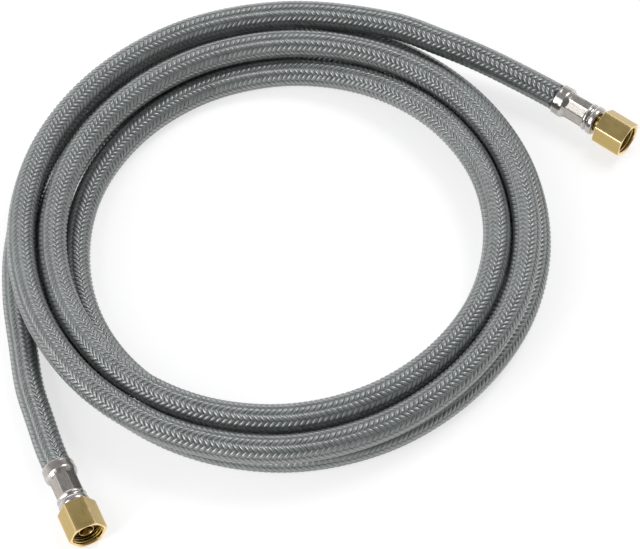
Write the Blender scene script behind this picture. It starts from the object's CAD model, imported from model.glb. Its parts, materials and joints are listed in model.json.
# Braided water supply line: the dressed model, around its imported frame.

import json
import math

import bmesh
import bpy
from mathutils import Matrix, Vector


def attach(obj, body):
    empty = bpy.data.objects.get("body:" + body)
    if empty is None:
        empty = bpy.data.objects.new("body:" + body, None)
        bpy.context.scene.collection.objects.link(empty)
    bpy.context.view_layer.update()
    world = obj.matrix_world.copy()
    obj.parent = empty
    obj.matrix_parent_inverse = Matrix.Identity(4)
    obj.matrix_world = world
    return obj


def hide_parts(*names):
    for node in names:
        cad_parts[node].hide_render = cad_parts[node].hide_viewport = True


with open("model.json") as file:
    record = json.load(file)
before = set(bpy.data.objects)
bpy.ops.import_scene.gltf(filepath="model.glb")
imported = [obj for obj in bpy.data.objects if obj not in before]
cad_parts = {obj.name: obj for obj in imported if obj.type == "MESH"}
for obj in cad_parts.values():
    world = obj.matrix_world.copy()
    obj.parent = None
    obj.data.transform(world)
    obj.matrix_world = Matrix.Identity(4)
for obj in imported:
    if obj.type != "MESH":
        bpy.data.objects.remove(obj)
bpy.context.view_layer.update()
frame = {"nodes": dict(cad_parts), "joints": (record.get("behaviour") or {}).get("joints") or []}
mm = 0.001
print("frame loaded:", len(frame["nodes"]), "nodes")


# Small tools for node trees

class Wire:  # a node's output, which takes plain arithmetic
    def __init__(self, maker, socket):
        self.maker = maker
        self.socket = socket

    def also(self, name):  # another output of the same node
        return Wire(self.maker, self.socket.node.outputs[name])

    def math(self, operation, *values):
        return self.maker.math(operation, *values)

    def __add__(self, other):
        return self.math("ADD", self, other)

    def __radd__(self, other):
        return self.math("ADD", other, self)

    def __sub__(self, other):
        return self.math("SUBTRACT", self, other)

    def __rsub__(self, other):
        return self.math("SUBTRACT", other, self)

    def __mul__(self, other):
        return self.math("MULTIPLY", self, other)

    def __rmul__(self, other):
        return self.math("MULTIPLY", other, self)

    def __truediv__(self, other):
        return self.math("DIVIDE", self, other)

    def __rtruediv__(self, other):
        return self.math("DIVIDE", other, self)

    def __pow__(self, other):
        return self.math("POWER", self, other)


class Maker:  # makes and joins the nodes of one tree
    def __init__(self, tree):
        self.tree = tree

    def join(self, socket, value):
        if isinstance(value, Wire):
            self.tree.links.new(value.socket, socket)
        else:
            socket.default_value = value

    def feed(self, node, inputs):
        for key, value in inputs.items():
            self.join(node.inputs[key], value)

    def make(self, kind, settings=None, inputs=None, output=0):
        made = self.tree.nodes.new(kind)
        for name, value in (settings or {}).items():
            if name == "stops":
                self.fillRamp(made.color_ramp, value)
            else:
                setattr(made, name, value)
        self.feed(made, inputs or {})
        return Wire(self, made.outputs[output])

    def fillRamp(self, ramp, stops):
        while len(ramp.elements) > 1:
            ramp.elements.remove(ramp.elements[0])
        ramp.elements[0].position = stops[0][0]
        ramp.elements[0].color = (*stops[0][1], 1.0)
        for position, colour in stops[1:]:
            ramp.elements.new(position).color = (*colour, 1.0)

    def math(self, operation, *values):
        return self.make("ShaderNodeMath", {"operation": operation}, dict(enumerate(values)))

    def mix(self, level, first, second):
        # of two colours, which a Mix node takes at its inputs 6 and 7 and gives at its output 2
        ends = [value if isinstance(value, Wire) else (*value, 1.0) for value in (first, second)]
        return self.make("ShaderNodeMix", {"data_type": "RGBA"}, {0: level, 6: ends[0], 7: ends[1]}, 2)

    def vector(self, operation, *values, **named):
        inputs = {**dict(enumerate(values)), **named}
        return self.make("ShaderNodeVectorMath", {"operation": operation}, inputs, "Vector")

    def attribute(self, name, output="Fac"):
        return self.make("ShaderNodeAttribute", {"attribute_name": name}, None, output)

    def patches(self, scale, detail=3.0):  # noise over the object's own coordinates
        place = self.make("ShaderNodeTexCoord", None, None, "Object")
        return self.make("ShaderNodeTexNoise", None, {"Vector": place, "Scale": scale, "Detail": detail})

    def bump(self, strength, depth, height):
        return self.make("ShaderNodeBump", None, {"Strength": strength, "Distance": depth, "Height": height})


def newMaterial(name, **constants):
    material = bpy.data.materials.new(name)
    material.use_nodes = True
    maker = Maker(material.node_tree)
    shader = material.node_tree.nodes["Principled BSDF"]
    for key, value in constants.items():
        shader.inputs[key.replace("_", " ")].default_value = value
    return material, maker, shader


def newObject(name, data):
    made = bpy.data.objects.new(name, data)
    bpy.context.scene.collection.objects.link(made)
    return made


# The hose's route in millimetres, close to the one that the CAD part lays. It runs from the nut at end b
# to the coil, round the coil from the floor upwards, and out to the nut at end a.

routeValues = {
    "floorLevel": 5.0,
    "firstAngle": 180.0,
    "stationsPerTurn": 8,
    "pointsPerStation": 2,
    "collarLength": 4.0,
    "axisStep": 1.3,
    "ferruleLength": 17.4,
    "nutGap": 0.3,
    "stepsBetween": 14,
}
floorLevel = routeValues["floorLevel"]

# radius and height about the coil's centre, at every eighth of a turn
coilStations = [
    (95.2, floorLevel), (97.0, floorLevel), (98.8, floorLevel), (94.0, floorLevel),
    (89.3, floorLevel), (86.9, floorLevel), (88.7, floorLevel), (88.3, floorLevel),
    (85.4, floorLevel), (85.9, floorLevel), (88.4, floorLevel), (83.9, floorLevel),
    (79.0, floorLevel), (76.6, floorLevel), (78.2, floorLevel), (77.0, floorLevel),
    (74.5, floorLevel), (75.4, floorLevel), (77.9, 5.8), (75.6, 11.8),
    (74.7, 14.3), (75.5, 14.9), (79.1, 14.8), (82.2, 14.3),
    (82.3, 14.7), (82.1, 14.5), (84.4, 14.8), (86.1, 15.0),
    (85.2, 14.7), (86.3, 14.9), (91.3, 14.8), (93.4, 14.6),
    (93.4, 14.9), (95.4, 14.9), (98.4, 14.9),
]
tailB = [(-79.4, -86.0, 5.8), (-83.6, -73.6, 5.3), (-87.8, -60.6, 5.1), (-91.1, -43.0, floorLevel),
         (-94.5, -22.0, floorLevel)]
tailA = [(38.4, 93.3, 14.8), (56.2, 85.8, 14.2), (71.1, 79.5, 12.3), (85.6, 72.2, 10.0)]
rimB = (-76.5, -93.0, 6.1)
nutOut = {"a": 1.5, "b": 0.0}


def endFrames():
    # each end's axis comes from its nut's joint, and its origin is the ferrule's rim
    frames = {}
    for joint in frame["joints"]:
        end = joint["name"].split("_")[1]
        outward = Vector(joint["axis"]).normalized()
        back = routeValues["ferruleLength"] + routeValues["nutGap"] + nutOut[end]
        rim = Vector(joint["pos_m"]) - outward * back * mm
        turn = outward.to_track_quat("Z", "Y").to_matrix().to_4x4()
        frames[end] = Matrix.Translation(rim) @ turn
    return frames


endFrame = endFrames()
shift = endFrame["b"].translation - Vector(rimB) * mm


def smoothValue(values, position):
    # where a smooth curve through the values stands at a position between them
    last = len(values) - 1
    index = min(int(position), last - 1)
    t = position - index
    before = values[max(index - 1, 0)]
    start, end = values[index], values[index + 1]
    after = values[min(index + 2, last)]
    return start + 0.5 * t * (end - before + t * (
        2 * before - 5 * start + 4 * end - after + t * (3 * (start - end) + after - before)))


def coilPoints():
    radii = [radius for radius, height in coilStations]
    heights = [height for radius, height in coilStations]
    perStation = routeValues["pointsPerStation"]
    points = []
    for step in range((len(coilStations) - 1) * perStation + 1):
        position = step / perStation
        turned = 360.0 / routeValues["stationsPerTurn"] * position
        angle = math.radians(routeValues["firstAngle"] - turned)
        radius = smoothValue(radii, position)
        points.append(Vector((radius * math.cos(angle), radius * math.sin(angle),
                              smoothValue(heights, position))) * mm + shift)
    return points


def endStops(end):
    # two points on the end's axis, one inside the ferrule's collar and one just outside it
    step, collar = routeValues["axisStep"], routeValues["collarLength"]
    heights = [collar - 2 * step, -step]
    return [endFrame[end] @ Vector((0, 0, height * mm)) for height in heights]


def hoseRoute():
    points = endStops("b")
    points += [Vector(point) * mm + shift for point in tailB]
    points += coilPoints()
    points += [Vector(point) * mm + shift for point in tailA]
    points += reversed(endStops("a"))
    return points


def smoothRoute(points):
    # a smooth curve through all of the points, evenly fine
    steps = routeValues["stepsBetween"]
    first = points[0] * 2 - points[1]
    last = points[-1] * 2 - points[-2]
    ring = [first, *points, last]
    line = []
    for index in range(1, len(ring) - 2):
        p0, p1, p2, p3 = ring[index - 1:index + 3]
        d1, d2, d3 = (max((b - a).length, 1e-9) ** 0.5 for a, b in ((p0, p1), (p1, p2), (p2, p3)))
        m1 = (p1 - p0) / d1 - (p2 - p0) / (d1 + d2) + (p2 - p1) / d2
        m2 = (p2 - p1) / d2 - (p3 - p1) / (d2 + d3) + (p3 - p2) / d3
        m1, m2 = m1 * d2, m2 * d2
        for step in range(steps):
            t = step / steps
            line.append((2 * t ** 3 - 3 * t ** 2 + 1) * p1 + (t ** 3 - 2 * t ** 2 + t) * m1
                        + (3 * t ** 2 - 2 * t ** 3) * p2 + (t ** 3 - t ** 2) * m2)
    line.append(points[-1])
    return line


route = smoothRoute(hoseRoute())
routeLength = sum((b - a).length for a, b in zip(route, route[1:]))
print("route:", len(route), "points,", round(routeLength, 4), "m")


# The camera

cameraValues = {
    "aim": (12.1, -12.8, 5.0),
    "elevation": 55.0,
    "distance": 1060.0,
    "lens": 168.75,
    "sensorWidth": 36.0,
    "clipStart": 0.05,
    "clipEnd": 10.0,
}


def makeCamera():
    values = cameraValues
    data = bpy.data.cameras.new("studioCamera")
    data.lens = values["lens"]
    data.sensor_width = values["sensorWidth"]
    data.clip_start, data.clip_end = values["clipStart"], values["clipEnd"]
    camera = newObject("studioCamera", data)
    elevation = math.radians(values["elevation"])
    back = Vector((0, -math.cos(elevation), math.sin(elevation)))
    aim = Vector(values["aim"]) * mm + shift
    camera.location = aim + back * values["distance"] * mm
    camera.rotation_mode = "QUATERNION"
    camera.rotation_quaternion = (-back).to_track_quat("-Z", "Y")
    bpy.context.scene.camera = camera


makeCamera()
print("camera placed")


# What makes a piece: a node tree run on a path, or rings joined one to the next

def newTree(name, sockets):
    tree = bpy.data.node_groups.new(name, "GeometryNodeTree")
    tree.interface.new_socket("Geometry", in_out="INPUT", socket_type="NodeSocketGeometry")
    tree.interface.new_socket("Geometry", in_out="OUTPUT", socket_type="NodeSocketGeometry")
    for label, kind in sockets:
        tree.interface.new_socket(label, in_out="INPUT", socket_type="NodeSocket" + kind)
    maker = Maker(tree)
    given = tree.nodes.new("NodeGroupInput")
    result = tree.nodes.new("NodeGroupOutput")
    return maker, {socket.name: Wire(maker, socket) for socket in given.outputs if socket.name}, result


def endTree(maker, geometry, given, result):
    real = maker.make("GeometryNodeRealizeInstances", None, {"Geometry": geometry})
    smooth = maker.make("GeometryNodeSetShadeSmooth", None, {"Geometry": real, "Shade Smooth": True})
    finished = maker.make("GeometryNodeSetMaterial", None, {"Geometry": smooth, "Material": given["Finish"]})
    maker.join(result.inputs[0], finished)


def runTree(tree, source, values):
    # puts the tree on an object, and returns what it makes as a plain mesh
    modifier = source.modifiers.new(tree.name, "NODES")
    modifier.node_group = tree
    for item in tree.interface.items_tree:
        if item.item_type == "SOCKET" and item.in_out == "INPUT" and item.name in values:
            modifier[item.identifier] = values[item.name]
    graph = bpy.context.evaluated_depsgraph_get()
    mesh = bpy.data.meshes.new_from_object(source.evaluated_get(graph), depsgraph=graph)
    source.modifiers.remove(modifier)
    return mesh


def newPiece(name, mesh, body, node):
    mesh.name = name
    piece = newObject(name, mesh)
    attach(piece, body)
    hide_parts(node)
    print(name, len(mesh.polygons), "faces")
    return piece


def loftMesh(name, rings, place, material, extra=None, sharpAngle=28.0):
    # Rings of (x, y, z, wear) in millimetres, joined each to the next and the last to the first.
    # The map runs in millimetres, around and along.
    shape = bmesh.new()
    pieceMap = shape.loops.layers.uv.new("pieceMap")
    wearLayer = shape.verts.layers.float.new("wear")
    rows = []
    for ring in rings:
        row = []
        for x, y, z, wear in ring:
            vertex = shape.verts.new(place @ (Vector((x, y, z)) * mm))
            vertex[wearLayer] = wear
            row.append(vertex)
        rows.append(row)
    count = len(rings[0])
    along = 0.0
    for index, row in enumerate(rows):
        nextRow = rows[(index + 1) % len(rows)]
        step = (nextRow[0].co - row[0].co).length / mm
        around = 0.0
        for column in range(count):
            after = (column + 1) % count
            wide = (row[after].co - row[column].co).length / mm
            face = shape.faces.new((row[column], row[after], nextRow[after], nextRow[column]))
            face.smooth = True
            corners = ((around, along), (around + wide, along),
                       (around + wide, along + step), (around, along + step))
            for loop, spot in zip(face.loops, corners):
                loop[pieceMap].uv = spot
            around += wide
        along += step
    if extra:
        shape.from_mesh(extra)
    bmesh.ops.recalc_face_normals(shape, faces=shape.faces)
    mesh = bpy.data.meshes.new(name)
    shape.to_mesh(mesh)
    shape.free()
    mesh.set_sharp_from_angle(angle=math.radians(sharpAngle))
    mesh.materials.append(material)
    return mesh


def turnedRings(profile, steps):
    # profile of (radius, height, wear)
    angles = [2 * math.pi * step / steps for step in range(steps)]
    return [[(radius * math.cos(angle), radius * math.sin(angle), height, wear) for angle in angles]
            for radius, height, wear in profile]


# The hose: a dark under-sleeve, the braid's strands over it, and the tube inside

hoseValues = {
    "braidRadius": 4.46 * mm,
    "reliefHeight": 0.68 * mm,
    "pitch": 1.95 * mm,
    "columnPairs": 6,
    "overlap": 1.42,
    "strandWidth": 1.12,
    "archPower": 1.3,
    "jitter": 0.03,
    "cellShare": 0.84,
    "sleeveRadius": 4.52 * mm,
    "sleeveWall": 0.2 * mm,
    "sleeveSides": 24,
    "tubeRadius": 4.1 * mm,
    "tubeWall": 0.6 * mm,
    "tubeSides": 16,
    "squeeze": 4.0 / 4.9,
    "hoseDepth": 14.8,
    "step": 3.0 * mm,
    "seed": 7,
}
strandValues = {
    "crown": (0.205, 0.229, 0.226),
    "flank": (0.022, 0.027, 0.024),
    "edgeFade": 1.9,
    "yarnShare": 0.35,
    "plainShare": 0.7,
    "toneShare": 0.2,
    "patchShare": 0.3,
    "patchScale": 70.0,
    "roughness": 0.32,
    "roughByTone": 0.12,
    "roughByPatch": 0.2,
    "coatOnCrown": 0.8,
    "coatOverall": 0.2,
    "coatRoughness": 0.3,
    "coatIor": 2.2,
    "yarns": 2,
    "yarnDepth": 0.045 * mm,
    "yarnStrength": 0.7,
}
sleeveValues = {
    "dark": (0.018, 0.020, 0.020),
    "light": (0.055, 0.060, 0.058),
    "patchScale": 400.0,
    "patchDetail": 3.0,
    "roughness": 0.45,
    "roughByPatch": 0.3,
}
vinylValues = {
    "dark": (0.68, 0.66, 0.60),
    "light": (0.80, 0.79, 0.75),
    "patchScale": 90.0,
    "patchDetail": 2.0,
    "roughness": 0.35,
    "roughByPatch": 0.2,
}


def strandMaterial():
    # each hump is light along its crown and dark at its edges, with the lines of its yarns
    values = strandValues
    material, maker, shader = newMaterial(
        "braidStrand", Coat_Roughness=values["coatRoughness"], Coat_IOR=values["coatIor"])
    parts = maker.make("ShaderNodeSeparateXYZ", None, {"Vector": maker.attribute("strandMap", "Vector")})
    yarnAngle = (parts.also("Y") - 0.25) * (2 * math.pi * values["yarns"])
    yarns = maker.math("COSINE", yarnAngle) * 0.5 + 0.5
    across = maker.math("ABSOLUTE", parts.also("Y") * 2.0 - 1.0)
    lengthwise = maker.math("ABSOLUTE", parts.also("X") * 2.0 - 1.0)
    crown = (1.0 - across ** values["edgeFade"]) * (1.0 - lengthwise ** values["edgeFade"])
    tone = maker.attribute("strandTone") - 0.5
    patches = maker.patches(values["patchScale"]) - 0.5
    level = (crown * (yarns * values["yarnShare"] + values["plainShare"])
             + tone * values["toneShare"] + patches * values["patchShare"])
    maker.feed(shader, {
        "Base Color": maker.mix(level, values["flank"], values["crown"]),
        "Roughness": (patches * values["roughByPatch"] + tone * values["roughByTone"]
                      + values["roughness"]),
        "Coat Weight": crown * values["coatOnCrown"] + values["coatOverall"],
        "Normal": maker.bump(values["yarnStrength"], values["yarnDepth"], yarns)})
    return material


def patchedMaterial(name, values):
    # a soft change between two near colours, and a fine grain where the values give one
    material, maker, shader = newMaterial(name)
    patches = maker.patches(values["patchScale"], values["patchDetail"])
    maker.feed(shader, {
        "Base Color": maker.mix(patches, values["dark"], values["light"]),
        "Roughness": patches * values["roughByPatch"] + values["roughness"]})
    if "grainDepth" in values:
        maker.feed(shader, {"Normal": maker.bump(values["grainStrength"], values["grainDepth"], patches)})
    return material


def pathCurve(name, places, scales):
    curve = bpy.data.curves.new(name, "CURVE")
    curve.dimensions = "3D"
    curve.twist_mode = "Z_UP"
    spline = curve.splines.new("POLY")
    spline.points.add(len(places) - 1)
    for splinePoint, place, scale in zip(spline.points, places, scales):
        splinePoint.co = (*place, 1.0)
        splinePoint.radius = scale
    return newObject(name, curve)


def tubeTree():
    # a hollow tube swept along the path: an outer and an inner skin, left open at the rims
    maker, given, result = newTree("sweptTube", [
        ("Radius", "Float"), ("Wall", "Float"), ("Sides", "Int"), ("Step", "Float"), ("Finish", "Material")])
    path = maker.make("GeometryNodeResampleCurve", {"mode": "LENGTH"},
                      {"Curve": given["Geometry"], "Length": given["Step"]})
    skins = []
    for radius in (given["Radius"], given["Radius"] - given["Wall"]):
        ring = maker.make("GeometryNodeCurvePrimitiveCircle", None,
                          {"Resolution": given["Sides"], "Radius": radius})
        skins.append(maker.make("GeometryNodeCurveToMesh", None, {"Curve": path, "Profile Curve": ring}))
    inside = maker.make("GeometryNodeFlipFaces", None, {"Mesh": skins[1]})
    both = maker.make("GeometryNodeJoinGeometry")
    maker.join(both.socket.node.inputs[0], skins[0])
    maker.join(both.socket.node.inputs[0], inside)
    endTree(maker, both, given, result)
    return maker.tree


def closeRims(mesh):
    # joins the two skins at both ends, which lie on either side of the open edges' middle
    shape = bmesh.new()
    shape.from_mesh(mesh)
    openEdges = [edge for edge in shape.edges if edge.is_boundary]
    middle = sum((edge.verts[0].co for edge in openEdges), Vector()) / len(openEdges)
    for sign in (-1, 1):
        rim = [edge for edge in openEdges if (edge.verts[0].co.y - middle.y) * sign > 0]
        bmesh.ops.bridge_loops(shape, edges=rim)
    bmesh.ops.recalc_face_normals(shape, faces=shape.faces)
    for face in shape.faces:
        face.smooth = True
    shape.to_mesh(mesh)
    shape.free()


def braidTree():
    # One hand of the braid: each strand shows as a row of short humps on every other column. Each hump
    # is laid out flat as (along, around, up), and then wrapped round the path.
    values = hoseValues
    maker, given, result = newTree("braidHumps", [
        ("Pitch", "Float"), ("Radius", "Float"), ("Height", "Float"), ("Pairs", "Int"), ("Hand", "Float"),
        ("First Column", "Float"), ("Along Shift", "Float"), ("Overlap", "Float"), ("Width", "Float"),
        ("Seed", "Int"), ("Finish", "Material")])

    def stored(geometry, name, value, kind="FLOAT", domain="POINT"):
        return maker.make("GeometryNodeStoreNamedAttribute", {"data_type": kind, "domain": domain},
                          {"Geometry": geometry, "Name": name, "Value": value})

    def recalled(name, kind="FLOAT"):
        return maker.make("GeometryNodeInputNamedAttribute", {"data_type": kind}, {"Name": name}, "Attribute")

    def separated(vector):
        return maker.make("ShaderNodeSeparateXYZ", None, {"Vector": vector})

    # one point a hump, in rows along the path
    pitch, radius, pairs, height = given["Pitch"], given["Radius"], given["Pairs"], given["Height"]
    length = maker.make("GeometryNodeCurveLength", None, {"Curve": given["Geometry"]})
    rows = maker.math("FLOOR", length / pitch - 1.0)
    count = rows * pairs
    points = maker.make("GeometryNodePoints", None, {"Count": count})
    index = maker.make("GeometryNodeInputIndex")
    row = maker.math("FLOOR", (index + 0.5) / pairs)
    column = index - row * pairs
    pairArc = 2 * math.pi * radius / pairs
    jitter = maker.make("FunctionNodeRandomValue", {"data_type": "FLOAT"},
                        {2: -1.0, 3: 1.0, "Seed": given["Seed"]}, 1)
    along = (row + 1.0 + given["Along Shift"] + jitter * values["jitter"]) * pitch
    place = maker.make("ShaderNodeCombineXYZ", None,
                       {"X": along, "Y": (column + given["First Column"]) * pairArc})
    laid = maker.make("GeometryNodeSetPosition", None, {"Geometry": points, "Position": place})
    cells = maker.math("CEIL", maker.math("SQRT", count))
    cellRow = maker.math("FLOOR", (index + 0.5) / cells)
    laid = stored(laid, "strandTone", jitter * 0.5 + 0.5)
    laid = stored(laid, "cellAcross", index - cellRow * cells)
    laid = stored(laid, "cellUp", cellRow)

    # one hump: a strip four faces long and three wide, arched both ways, that leans by one pitch
    strip = maker.make("GeometryNodeMeshGrid", None,
                       {"Size X": 2.0, "Size Y": 2.0, "Vertices X": 5, "Vertices Y": 4})
    strip = stored(strip, "strandMap", strip.also("UV Map"), "FLOAT2", "CORNER")
    spot = separated(maker.make("GeometryNodeInputPosition"))
    a, b = spot.also("X"), spot.also("Y")
    side = maker.math("SINE", b * (math.pi / 2))
    arch = maker.math("COSINE", b * (math.pi / 2)) * (1.0 - a * a) ** values["archPower"]
    halfSpan = given["Overlap"] * 0.5
    humpPlace = maker.make("ShaderNodeCombineXYZ", None, {
        "X": (side * given["Width"] * 0.5 + a * halfSpan * given["Hand"]) * pitch,
        "Y": a * halfSpan * pairArc * 0.5,
        "Z": arch * height})
    hump = maker.make("GeometryNodeSetPosition", None, {"Geometry": strip, "Position": humpPlace})
    copies = maker.make("GeometryNodeInstanceOnPoints", None, {"Points": laid, "Instance": hump})
    real = maker.make("GeometryNodeRealizeInstances", None, {"Geometry": copies})

    # each hump has its own cell on the map that runs over the whole piece
    share = values["cellShare"]
    margin = (1.0 - share) / 2
    own = separated(recalled("strandMap", "FLOAT_VECTOR"))
    folded = maker.make("ShaderNodeCombineXYZ", None, {
        "X": (recalled("cellAcross") + own.also("X") * share + margin) / cells,
        "Y": (recalled("cellUp") + own.also("Y") * share + margin) / cells})
    real = stored(real, "OFBake", folded, "FLOAT2", "CORNER")

    # wrapped round the path
    flat = separated(maker.make("GeometryNodeInputPosition"))
    sampled = maker.make("GeometryNodeSampleCurve", {"mode": "LENGTH"},
                         {"Curves": given["Geometry"], "Length": flat.also("X")}, "Position")
    normal = sampled.also("Normal")
    sideways = maker.vector("CROSS_PRODUCT", sampled.also("Tangent"), normal)
    angle = flat.also("Y") / radius
    level = radius + flat.also("Z")
    outward = maker.vector("ADD", maker.vector("SCALE", normal, Scale=maker.math("COSINE", angle) * level),
                           maker.vector("SCALE", sideways, Scale=maker.math("SINE", angle) * level))
    wrapped = maker.make("GeometryNodeSetPosition", None,
                         {"Geometry": real, "Position": maker.vector("ADD", sampled, outward)})
    endTree(maker, wrapped, given, result)
    return maker.tree


def makeHose():
    values = hoseValues
    depth, collar = values["hoseDepth"], routeValues["collarLength"]
    depths = (depth, (depth + collar) / 2, collar)
    inward = {end: [endFrame[end] @ Vector((0, 0, height * mm)) for height in depths] for end in "ab"}
    places = [*inward["b"], *route, *reversed(inward["a"])]
    squeezed = [values["squeeze"]] * len(depths)
    tubePath = pathCurve("hosePath", places, squeezed + [1.0] * len(route) + squeezed)
    braidPath = pathCurve("braidPath", route, [1.0] * len(route))

    tube = tubeTree()
    meshes = {}
    for name, part, finish in (("hoseSleeve", "sleeve", patchedMaterial("braidUnderside", sleeveValues)),
                               ("innerTube", "tube", patchedMaterial("clearVinyl", vinylValues))):
        meshes[name] = runTree(tube, tubePath, {
            "Radius": values[part + "Radius"], "Wall": values[part + "Wall"],
            "Sides": values[part + "Sides"], "Step": values["step"], "Finish": finish})
        closeRims(meshes[name])
    sleeve = newPiece("hoseSleeve", meshes["hoseSleeve"], "hose", "braided_jacket")
    newPiece("innerTube", meshes["innerTube"], "hose", "inner_tube")

    braid = braidTree()
    strand = strandMaterial()
    for name, hand, shiftBy in (("braidLeaningLeft", 1.0, 0.0), ("braidLeaningRight", -1.0, 0.5)):
        mesh = runTree(braid, braidPath, {
            "Pitch": values["pitch"], "Radius": values["braidRadius"], "Height": values["reliefHeight"],
            "Pairs": values["columnPairs"], "Hand": hand, "First Column": shiftBy, "Along Shift": shiftBy,
            "Overlap": values["overlap"], "Width": values["strandWidth"], "Seed": values["seed"],
            "Finish": strand})
        for label in ("cellAcross", "cellUp"):
            mesh.attributes.remove(mesh.attributes[label])
        newPiece(name, mesh, "hose", "braided_jacket")
    bpy.data.objects.remove(tubePath)
    bpy.data.objects.remove(braidPath)
    makeFerrule("a")
    makeNut("a")


# The metal and rubber finishes. Streaks are sized (around, along) the piece in its map's millimetres.

steelValues = {
    "light": (0.66, 0.63, 0.595),
    "dark": (0.28, 0.255, 0.23),
    "lines": (9.0, 0.35),
    "turning": (0.15, 8.0),
    "stainScale": 260.0,
    "level": 0.45,
    "levelByLine": 1.5,
    "levelByTurning": 0.5,
    "levelByStain": 0.6,
    "levelByWear": 0.5,
    "roughness": 0.2,
    "roughByStain": 0.25,
    "roughByLine": 0.1,
    "turningHeight": 0.6,
    "scratchDepth": 0.03 * mm,
    "scratchStrength": 0.5,
}
brassValues = {
    "gold": (0.61, 0.46, 0.18),
    "olive": (0.45, 0.355, 0.085),
    "pink": (0.62, 0.43, 0.28),
    "brown": (0.12, 0.07, 0.02),
    "wornEdge": (0.98, 0.72, 0.38),
    "lines": (5.0, 0.22),
    "turning": (0.12, 7.0),
    "patchScale": 190.0,
    "goldByPatch": 1.6,
    "goldFrom": 0.3,
    "pinkByLine": 2.2,
    "pinkLevel": 0.18,
    "brownByPatch": 0.3,
    "roughness": 0.27,
    "roughByPatch": 0.3,
    "roughByLine": 0.15,
    "smoothByWear": 0.08,
    "turningHeight": 0.5,
    "scratchDepth": 0.03 * mm,
    "scratchStrength": 0.5,
}
rubberValues = {
    "dark": (0.012, 0.012, 0.012),
    "light": (0.045, 0.043, 0.04),
    "patchScale": 1500.0,
    "patchDetail": 3.0,
    "roughness": 0.5,
    "roughByPatch": 0.3,
    "grainDepth": 0.02 * mm,
    "grainStrength": 0.4,
}


def pieceStreaks(maker, size):
    # noise drawn out along or around the piece
    around, along = size
    stretched = maker.vector("MULTIPLY", maker.attribute("pieceMap", "Vector"), (around, along, 0.0))
    return maker.make("ShaderNodeTexNoise", None, {"Vector": stretched, "Scale": 1.0, "Detail": 3.0})


def steelMaterial():
    values = steelValues
    material, maker, shader = newMaterial("crimpedSteel", Metallic=1.0)
    lines = pieceStreaks(maker, values["lines"])
    turning = pieceStreaks(maker, values["turning"])
    stains = maker.patches(values["stainScale"], 4.0)
    wear = maker.attribute("wear")
    level = ((lines - 0.5) * values["levelByLine"] + (turning - 0.5) * values["levelByTurning"]
             + (stains - 0.5) * values["levelByStain"] + wear * values["levelByWear"] + values["level"])
    maker.feed(shader, {
        "Base Color": maker.mix(level, values["dark"], values["light"]),
        "Roughness": ((stains - 0.5) * values["roughByStain"] + (lines - 0.5) * values["roughByLine"]
                      + values["roughness"]),
        "Normal": maker.bump(values["scratchStrength"], values["scratchDepth"],
                             lines + turning * values["turningHeight"])})
    return material


def brassMaterial(name, worn, tarnish):
    values = brassValues
    material, maker, shader = newMaterial(name, Metallic=1.0)
    lines = pieceStreaks(maker, values["lines"])
    turning = pieceStreaks(maker, values["turning"])
    patches = maker.patches(values["patchScale"])
    wear = maker.attribute("wear")
    plain = maker.mix(patches * values["goldByPatch"] - values["goldFrom"], values["olive"], values["gold"])
    drawn = maker.mix((lines - 0.5) * values["pinkByLine"] + values["pinkLevel"], plain, values["pink"])
    stained = maker.mix(patches * values["brownByPatch"] + tarnish, drawn, values["brown"])
    maker.feed(shader, {
        "Base Color": maker.mix(wear * worn, stained, values["wornEdge"]),
        "Roughness": ((patches - 0.5) * values["roughByPatch"] + (lines - 0.5) * values["roughByLine"]
                      + values["roughness"] - wear * values["smoothByWear"]),
        "Normal": maker.bump(values["scratchStrength"], values["scratchDepth"],
                             lines + turning * values["turningHeight"])})
    return material


finishes = {
    "steel": steelMaterial(),
    "brass": brassMaterial("nutBrass", worn=0.95, tarnish=-0.1),
    "stemBrass": brassMaterial("stemBrass", worn=0.8, tarnish=0.5),
    "rubber": patchedMaterial("washerRubber", rubberValues),
}


# The ferrules. Their collar and tip are given as (radius, height, wear), and the flats lie between.

ferruleValues = {
    "crimpTurn": {"a": -10.0, "b": 7.0},
    "flats": 8,
    "flatApothem": 4.65,
    "ridgeRadius": 5.02,
    "ridgeRise": 0.09,
    "ridgeWidth": 1.7,
    "flatOffsets": (-22.5, -21.3, -19.5, -16.5, -11.0, -4.0, 4.0, 11.0, 16.5, 19.5, 21.3),
    "waist": 0.05,
    "waistShares": (0.0, 0.04, 0.2, 0.5, 0.8, 0.96, 1.0),
    "collarRadius": 5.62,
    "collarEnd": 4.05,
    "collarSlope": 0.75,
    "tipRadius": 5.2,
    "flatsEnd": 13.2,
    "tipSlope": 1.1,
    "sharpAngle": 40.0,
    "collar": (
        (5.45, 0.0, 0.5), (5.62, 0.1, 1.0), (5.70, 0.35, 1.0), (5.63, 0.75, 0.2),
        (5.66, 1.7, 0.0), (5.76, 2.6, 0.0), (5.80, 3.2, 0.1), (5.76, 3.7, 0.6),
    ),
    "tip": (
        (5.30, 13.4, 1.0), (5.34, 13.7, 1.0), (5.26, 14.0, 0.5), (4.98, 14.35, 0.0),
        (4.95, 14.75, 0.0), (5.2, 15.05, 0.2), (5.42, 15.3, 0.7), (5.50, 15.75, 0.8),
        (5.51, 16.4, 0.4), (5.48, 16.9, 0.5), (5.36, 17.22, 0.8), (5.12, 17.38, 0.6),
        (4.8, 17.4, 0.0), (3.7, 17.4, 0.0), (3.6, 17.3, 0.0), (3.6, 16.6, 0.0),
        (4.28, 16.6, 0.0), (4.28, 5.0, 0.0), (5.18, 3.8, 0.0), (5.18, 0.1, 0.0),
    ),
}


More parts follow.
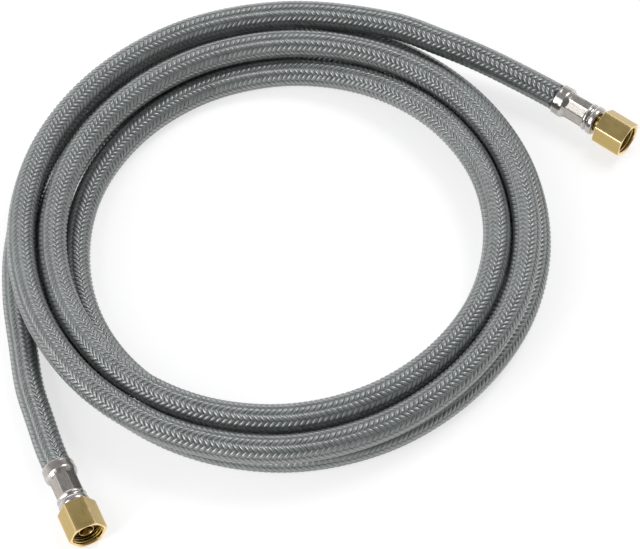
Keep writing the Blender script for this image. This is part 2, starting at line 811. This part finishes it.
def makeFerrule(end):
    values = ferruleValues
    collar, tip = values["collarRadius"], values["tipRadius"]
    flatAngle = 360.0 / values["flats"]
    columns = []
    for flat in range(values["flats"]):
        for offset in values["flatOffsets"]:
            angle = math.radians(90.0 + values["crimpTurn"][end] + flatAngle * flat + offset)
            fromEdge = flatAngle / 2 - abs(offset)
            radius = min(values["flatApothem"] / math.cos(math.radians(offset)), values["ridgeRadius"])
            ridge = math.exp(-(fromEdge / values["ridgeWidth"]) ** 2)
            columns.append((angle, radius + ridge * values["ridgeRise"], ridge))

    def ring(spots):
        return [(radius * math.cos(angle), radius * math.sin(angle), height, wear)
                for (angle, polygon, ridge), (radius, height, wear) in zip(columns, spots)]

    def roundRing(spot):
        return ring([spot] * len(columns))

    rings = [roundRing(spot) for spot in values["collar"]]
    start, finish = values["collarEnd"], values["flatsEnd"]
    rings.append(roundRing((collar, start, 0.8)))
    begins = [start + (collar - polygon) / values["collarSlope"] for angle, polygon, ridge in columns]
    ends = [finish - (tip - polygon) / values["tipSlope"] for angle, polygon, ridge in columns]
    for share in values["waistShares"]:
        sag = values["waist"] * math.sin(math.pi * share)
        rings.append(ring([(polygon - sag, begin + (stop - begin) * share, ridge * 0.9)
                           for (angle, polygon, ridge), begin, stop in zip(columns, begins, ends)]))
    rings.append(roundRing((tip, finish, 0.6)))
    rings += [roundRing(spot) for spot in values["tip"]]
    name = "ferrule" + end.upper()
    mesh = loftMesh(name, rings, endFrame[end], finishes["steel"], sharpAngle=values["sharpAngle"])
    return newPiece(name, mesh, "hose", "crimp_ferrule_" + end)


# The swivel nuts, each with its thread ridge

nutValues = {
    "turn": {"a": 22.0, "b": 5.0},
    "acrossFlats": 12.0,
    "length": 11.6,
    "edgeRounding": 0.4,
    "roundingTilts": (10.0, 30.0, 50.0),
    "flatStops": (-2.2, -1.1, 0.0, 1.1, 2.2),
    "flatMargin": 0.15,
    "wearWidth": 0.22,
    "faceRadius": 6.55,
    "chamferSlope": 0.75,
    "softEdge": 0.09,
    "endBand": 0.25,
    "backWall": 2.0,
    "backRadius": 5.0,
    "neckHole": 3.6,
    "neckBevel": 0.15,
    "boreRoot": 5.3,
    "boreBevel": 0.3,
    "mouthRadius": 5.6,
    "mouthDepth": 0.4,
    "threadPitch": 1.058,
    "threadSize": 0.27,
    "threadSteps": 30,
    "threadMargin": 0.55,
}


def threadTree():
    maker, given, result = newTree("threadRidge", [
        ("Radius", "Float"), ("Height", "Float"), ("Turns", "Float"), ("Steps", "Int"), ("Size", "Float"),
        ("Finish", "Material")])
    helix = maker.make("GeometryNodeCurveSpiral", None, {
        "Resolution": given["Steps"], "Rotations": given["Turns"], "Start Radius": given["Radius"],
        "End Radius": given["Radius"], "Height": given["Height"]})
    profile = maker.make("GeometryNodeCurvePrimitiveCircle", None, {"Resolution": 4, "Radius": given["Size"]})
    ridge = maker.make("GeometryNodeCurveToMesh", None,
                       {"Curve": helix, "Profile Curve": profile, "Fill Caps": True})
    endTree(maker, ridge, given, result)
    return maker.tree


threadNodes = threadTree()


def threadMesh(place, backHeight):
    values = nutValues
    margin = values["threadMargin"]
    height = values["length"] - values["backWall"] - 2 * margin
    holder = newObject("threadHolder", bpy.data.meshes.new("threadHolder"))
    mesh = runTree(threadNodes, holder, {
        "Radius": values["boreRoot"] * mm, "Height": height * mm, "Turns": height / values["threadPitch"],
        "Steps": values["threadSteps"], "Size": values["threadSize"] * mm, "Finish": finishes["brass"]})
    bpy.data.objects.remove(holder)
    mesh.transform(place @ Matrix.Translation((0, 0, (backHeight + values["backWall"] + margin) * mm)))
    return mesh


def nutColumns(end):
    # the hexagon's outline with rounded edges, as (x, y, wear)
    values = nutValues
    apothem, rounding = values["acrossFlats"] / 2, values["edgeRounding"]
    flat = (apothem - rounding) * math.tan(math.radians(30))
    margin = values["flatMargin"]
    columns = []
    for side in range(6):
        turn = math.radians(90.0 + values["turn"][end] + 60.0 * side)
        spots = [(x, apothem, math.exp(-(flat - abs(x)) / values["wearWidth"]) * 0.5)
                 for x in (-flat, -flat + margin, *values["flatStops"], flat - margin, flat)]
        for tilt in values["roundingTilts"]:
            lean = math.radians(tilt)
            spots.append((flat + rounding * math.sin(lean),
                          apothem - rounding + rounding * math.cos(lean), 1.0))
        for x, y, wear in spots:
            columns.append((-x * math.sin(turn) + y * math.cos(turn),
                            x * math.cos(turn) + y * math.sin(turn), wear))
    return columns


def makeNut(end):
    values = nutValues
    back = routeValues["ferruleLength"] + routeValues["nutGap"] + nutOut[end]
    length, wall, band = values["length"], values["backWall"], values["endBand"]
    columns = nutColumns(end)

    def hexRing(height, wear):
        # the ends' rings are chamfered where the hexagon runs past the face's round
        ring = []
        for x, y, edge in columns:
            rise = max(values["softEdge"], (math.hypot(x, y) - values["faceRadius"]) * values["chamferSlope"])
            ring.append((x, y, height + rise if height < length / 2 else height - rise, max(edge, wear)))
        return ring

    def faceRing(height, wear):
        # the hexagon, drawn in by a little and cut to the face's round
        ring = []
        for x, y, edge in columns:
            radius = math.hypot(x, y)
            scale = min(radius - values["softEdge"], values["faceRadius"]) / radius
            ring.append((x * scale, y * scale, height, wear))
        return ring

    def roundRing(radius, height, wear):
        ring = []
        for x, y, edge in columns:
            reach = math.hypot(x, y)
            ring.append((x * radius / reach, y * radius / reach, height, wear))
        return ring

    neck, root = values["neckHole"], values["boreRoot"]
    neckBevel, boreBevel = values["neckBevel"], values["boreBevel"]
    mouth = length - values["mouthDepth"]
    rings = [
        roundRing(neck, wall, 0), roundRing(neck, neckBevel, 0), roundRing(neck + neckBevel, 0, 0.3),
        roundRing(values["backRadius"], 0, 0), faceRing(0, 0.6), hexRing(0, 0.7),
        hexRing(band, 0), hexRing(length * 0.3, 0), hexRing(length * 0.499, 0),
        hexRing(length * 0.75, 0), hexRing(length - band, 0), hexRing(length, 0.7), faceRing(length, 1),
        roundRing(values["mouthRadius"], length, 1), roundRing(root, mouth, 0.8),
        roundRing(root, mouth - boreBevel, 0.1), roundRing(root, wall + boreBevel, 0),
        roundRing(root - boreBevel, wall, 0),
    ]
    place = endFrame[end] @ Matrix.Translation((0, 0, back * mm))
    thread = threadMesh(endFrame[end], back)
    name = "swivelNut" + end.upper()
    mesh = loftMesh(name, rings, place, finishes["brass"], extra=thread)
    bpy.data.meshes.remove(thread)
    return newPiece(name, mesh, "nut_" + end, "swivel_nut_" + end)


# The stems and washers, turned round each end's axis

stemValues = {
    "steps": 56,
    "bore": 1.3,
    "noseRadius": 1.6,
    "noseBevel": 0.05,
    "barbs": 4,
    "barbPeak": 2.3,
    "barbRoot": 2.0,
    "barbStart": 2.0,
    "barbEnd": 14.5,
    "barbTop": 0.2,
    "barbTip": 0.3,
    "shoulderBase": 15.1,
    "shoulderTop": 16.3,
    "shoulderRadius": 3.95,
    "neckRadius": 3.3,
    "neckStop": 18.3,
    "neckCove": 0.2,
    "flangeBase": 21.7,
    "flangeTop": 23.3,
    "flangeRadius": 4.45,
    "bevel": 0.15,
    "fillet": 0.1,
    "spigotTip": 27.3,
    "spigotRadius": 2.75,
    "flareRadius": 2.5,
    "flareDepth": 2.6,
    "lipWidth": 0.08,
}
washerValues = {
    "steps": 48,
    "base": 23.55,
    "profile": (
        (4.2, 0.0), (4.35, 0.15), (4.32, 0.7), (3.78, 2.45), (3.62, 2.6),
        (3.1, 2.6), (3.0, 2.5), (3.0, 0.1), (3.1, 0.0),
    ),
}


def makeStem(end):
    # from the rim at the tip down the outside to the barbs' nose, and back up the bore
    values = stemValues
    bevel, fillet, cove = values["bevel"], values["fillet"], values["neckCove"]
    spigot, tip, flare = values["spigotRadius"], values["spigotTip"], values["flareRadius"]
    flange, base, top = values["flangeRadius"], values["flangeBase"], values["flangeTop"]
    shoulder, low, high = values["shoulderRadius"], values["shoulderBase"], values["shoulderTop"]
    neck, root, bore = values["neckRadius"], values["barbRoot"], values["bore"]
    profile = [
        (flare, tip, 1), (spigot - bevel, tip, 1), (spigot, tip - bevel, 0.8),
        (spigot, top + fillet, 0), (spigot + fillet, top, 0),
        (flange - bevel, top, 0), (flange, top - bevel, 0.6),
        (flange, base + bevel, 0.6), (flange - bevel, base, 0),
        (neck + cove, base, 0), (neck, base - cove, 0), (neck, values["neckStop"], 0),
        (neck, high + fillet, 0), (neck + fillet, high, 0),
        (shoulder, high, 0), (shoulder, low, 0), (root, low, 0),
    ]
    pitch = (values["barbEnd"] - values["barbStart"]) / values["barbs"]
    for barb in range(values["barbs"]):
        height = values["barbEnd"] - barb * pitch
        profile += [(root, height - pitch * values["barbTop"], 0),
                    (values["barbPeak"], height - pitch * values["barbTip"], 0), (root, height - pitch, 0)]
    profile += [(values["noseRadius"], values["barbStart"] - values["noseBevel"], 0),
                (bore, values["barbStart"], 0), (bore, tip - values["flareDepth"], 0),
                (flare - values["lipWidth"], tip - bevel, 0)]
    name = "barbedStem" + end.upper()
    mesh = loftMesh(name, turnedRings(profile, values["steps"]), endFrame[end], finishes["stemBrass"])
    return newPiece(name, mesh, "hose", "barbed_stem_" + end)


def makeWasher(end):
    values = washerValues
    profile = [(radius, values["base"] + height, 0) for radius, height in values["profile"]]
    name = "coneWasher" + end.upper()
    mesh = loftMesh(name, turnedRings(profile, values["steps"]), endFrame[end], finishes["rubber"])
    return newPiece(name, mesh, "hose", "cone_washer_" + end)


makeHose()
makeFerrule("b")
makeNut("b")
for end in "ab":
    makeStem(end)
    makeWasher(end)
print("pieces made")


# The floor, the world and the lamps

studioValues = {
    "floorHalf": 3.0,
    "floorHeight": -0.0002,
    "floorRoughness": 0.9,
    "floorBounce": (0.82, 0.80, 0.76),
    "floorSeen": (0.4, 0.4, 0.4),
    "floorGlow": (0.68, 0.68, 0.68),
    "noGlow": (0.0, 0.0, 0.0),
    "skyStops": [
        (0.0, (0.8, 0.8, 0.8)), (0.5, (1.0, 1.0, 1.0)), (0.58, (0.95, 0.95, 0.95)),
        (0.70, (0.5, 0.5, 0.51)), (0.85, (0.42, 0.425, 0.435)), (1.0, (0.46, 0.465, 0.475)),
    ],
    "frontStops": [
        (0.0, (0.3, 0.3, 0.3)), (0.35, (0.5, 0.5, 0.5)), (0.5, (1.0, 1.0, 1.0)), (1.0, (1.0, 1.0, 1.0)),
    ],
    "lamps": (
        ("softRight", (0.5, 0.475, 1.04), (0.5, 0.5), 5.0),
        ("softLeft", (-0.8, -0.5, 0.84), (0.7, 0.7), 5.0),
        ("lowLeft", (-0.95, -0.85, 0.45), (0.5, 0.5), 5.5),
        ("softBack", (-0.5, 1.2, 0.55), (1.2, 0.5), 3.0),
    ),
}


def makeFloor():
    # near white where it is seen, and a plain warm grey where it only bounces light up
    values = studioValues
    half = values["floorHalf"]
    corners = [(-half, -half, 0), (half, -half, 0), (half, half, 0), (-half, half, 0)]
    floorMesh = bpy.data.meshes.new("studioFloor")
    floorMesh.from_pydata(corners, [], [(0, 1, 2, 3)])
    floor = newObject("studioFloor", floorMesh)
    floor.location.z = values["floorHeight"]
    material, maker, shader = newMaterial("paleFloor", Roughness=values["floorRoughness"])
    cameraRay = maker.make("ShaderNodeLightPath", None, None, "Is Camera Ray")
    seen = maker.math("MAXIMUM", cameraRay.also("Is Glossy Ray"), cameraRay.also("Is Transmission Ray"))
    seen = maker.math("MAXIMUM", cameraRay, seen)
    maker.feed(shader, {
        "Base Color": maker.mix(seen, values["floorBounce"], values["floorSeen"]),
        "Emission Color": maker.mix(seen, values["noGlow"], values["floorGlow"]),
        "Emission Strength": 1.0})
    floorMesh.materials.append(material)


def makeWorld():
    values = studioValues
    world = bpy.data.worlds.new("studioWorld")
    world.use_nodes = True
    bpy.context.scene.world = world
    maker = Maker(world.node_tree)
    direction = maker.make("ShaderNodeTexCoord", None, None, "Generated")
    parts = maker.make("ShaderNodeSeparateXYZ", None, {"Vector": direction})
    sky = maker.make("ShaderNodeValToRGB", {"stops": values["skyStops"]},
                     {"Fac": parts.also("Z") * 0.5 + 0.5})
    front = maker.make("ShaderNodeValToRGB", {"stops": values["frontStops"]},
                       {"Fac": parts.also("Y") * 0.5 + 0.5})
    maker.feed(world.node_tree.nodes["Background"], {"Color": maker.vector("MULTIPLY", sky, front)})


def makeLamps():
    for name, place, size, power in studioValues["lamps"]:
        data = bpy.data.lights.new(name, "AREA")
        data.shape = "RECTANGLE"
        data.size, data.size_y = size
        data.energy = power
        lamp = newObject(name, data)
        lamp.location = place
        lamp.rotation_mode = "QUATERNION"
        lamp.rotation_quaternion = (-Vector(place)).to_track_quat("-Z", "Y")


makeFloor()
makeWorld()
makeLamps()
bpy.context.scene.view_settings.view_transform = "Standard"
print("studio lit")
